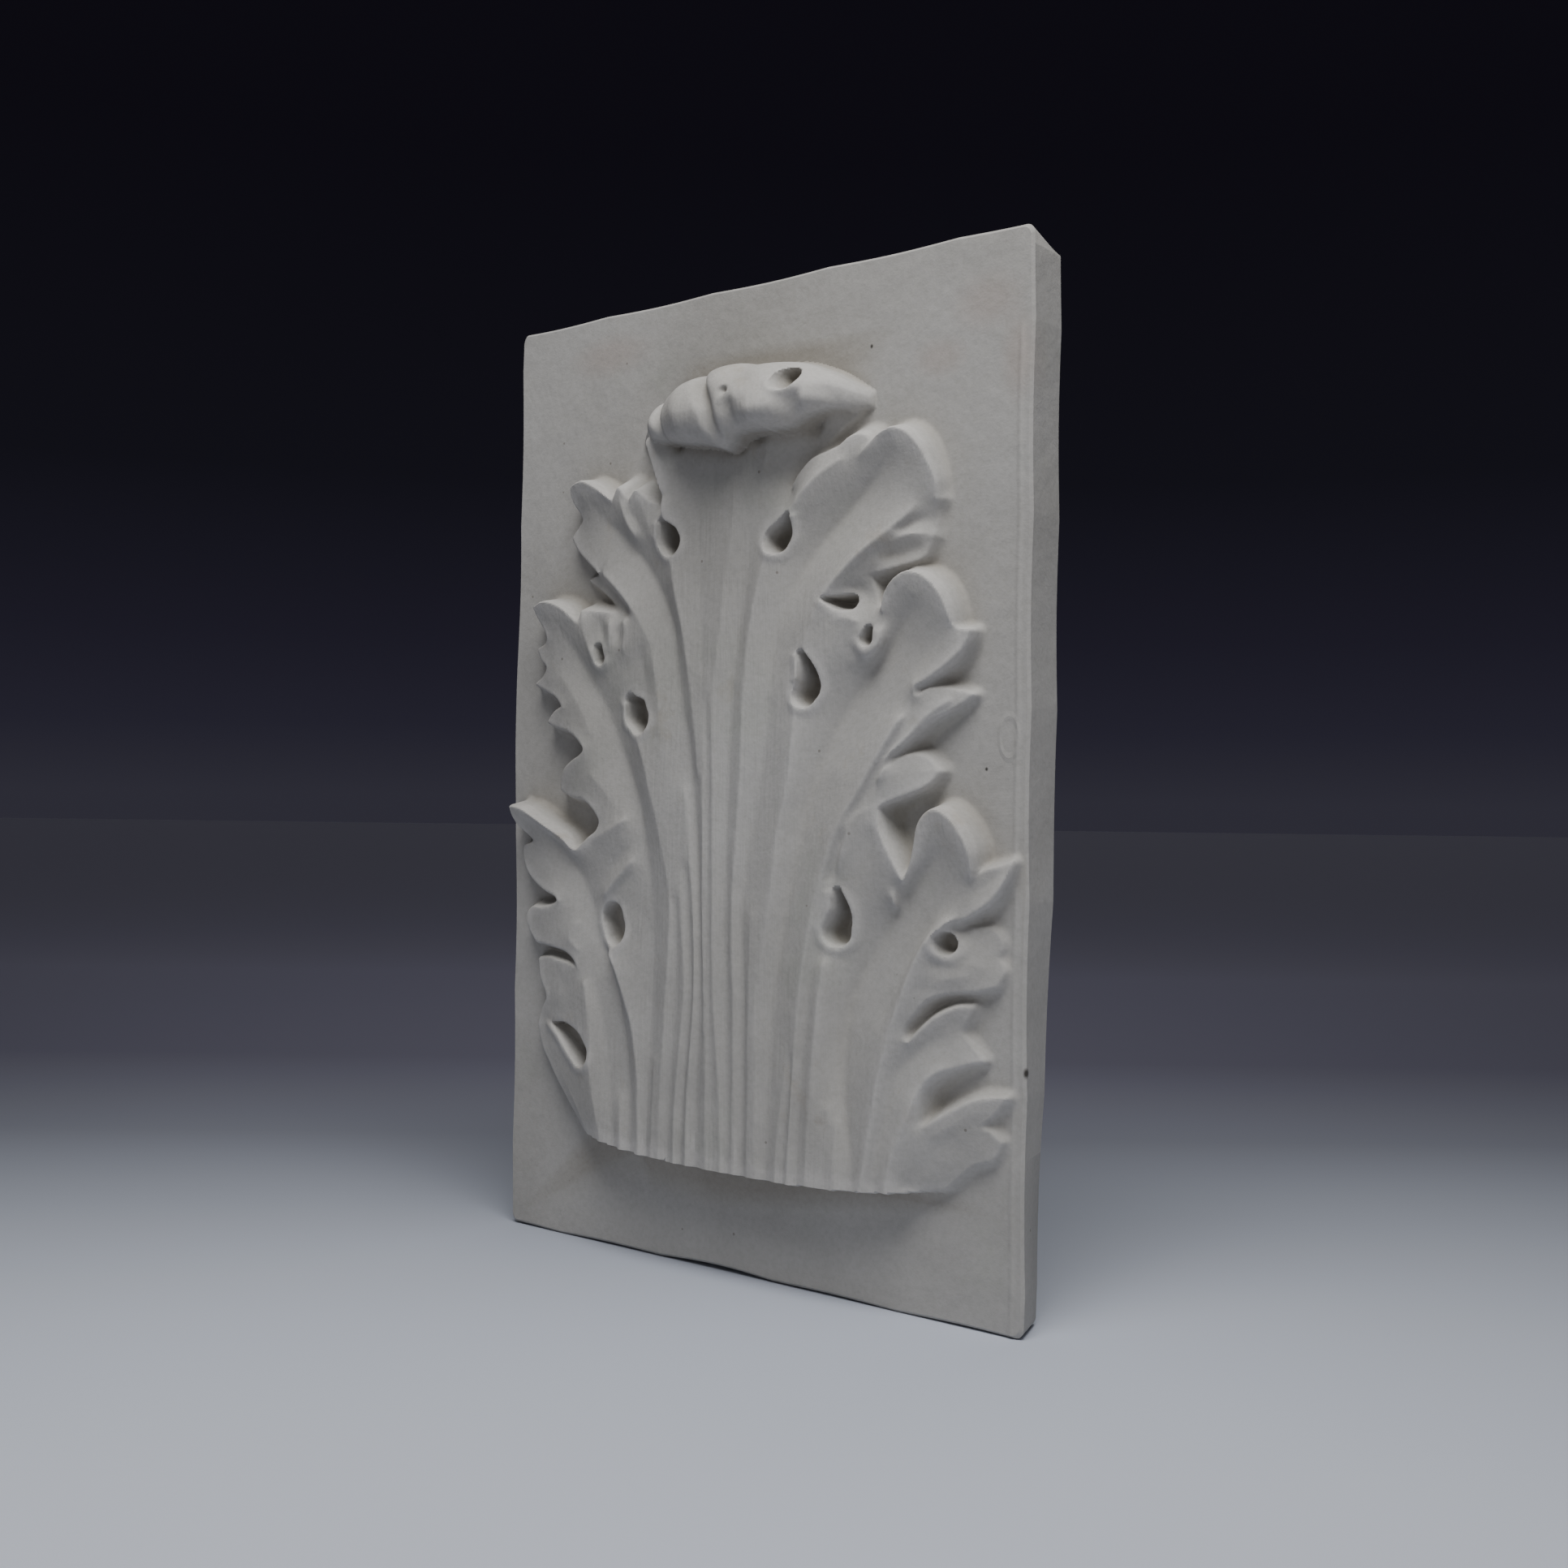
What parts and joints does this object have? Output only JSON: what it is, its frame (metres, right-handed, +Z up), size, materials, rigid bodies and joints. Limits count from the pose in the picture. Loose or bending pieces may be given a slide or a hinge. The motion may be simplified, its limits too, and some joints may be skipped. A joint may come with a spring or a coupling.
{
  "type": "plaster relief",
  "caption": "Cast plaster relief panel: a tall acanthus leaf with a curled tip on a plain rectangular slab.",
  "frame": {"origin": "middle of the slab's flat back", "axes": "+Z up along the leaf, the leaf faces -Y, +X to the viewer's right"},
  "size_m": [0.3, 0.0615, 0.45],
  "materials": {
    "plaster": "matt aged plaster"
  },
  "bodies": {
    "root": {"acanthus_relief_panel": "plaster"}
  },
  "joints": []
}
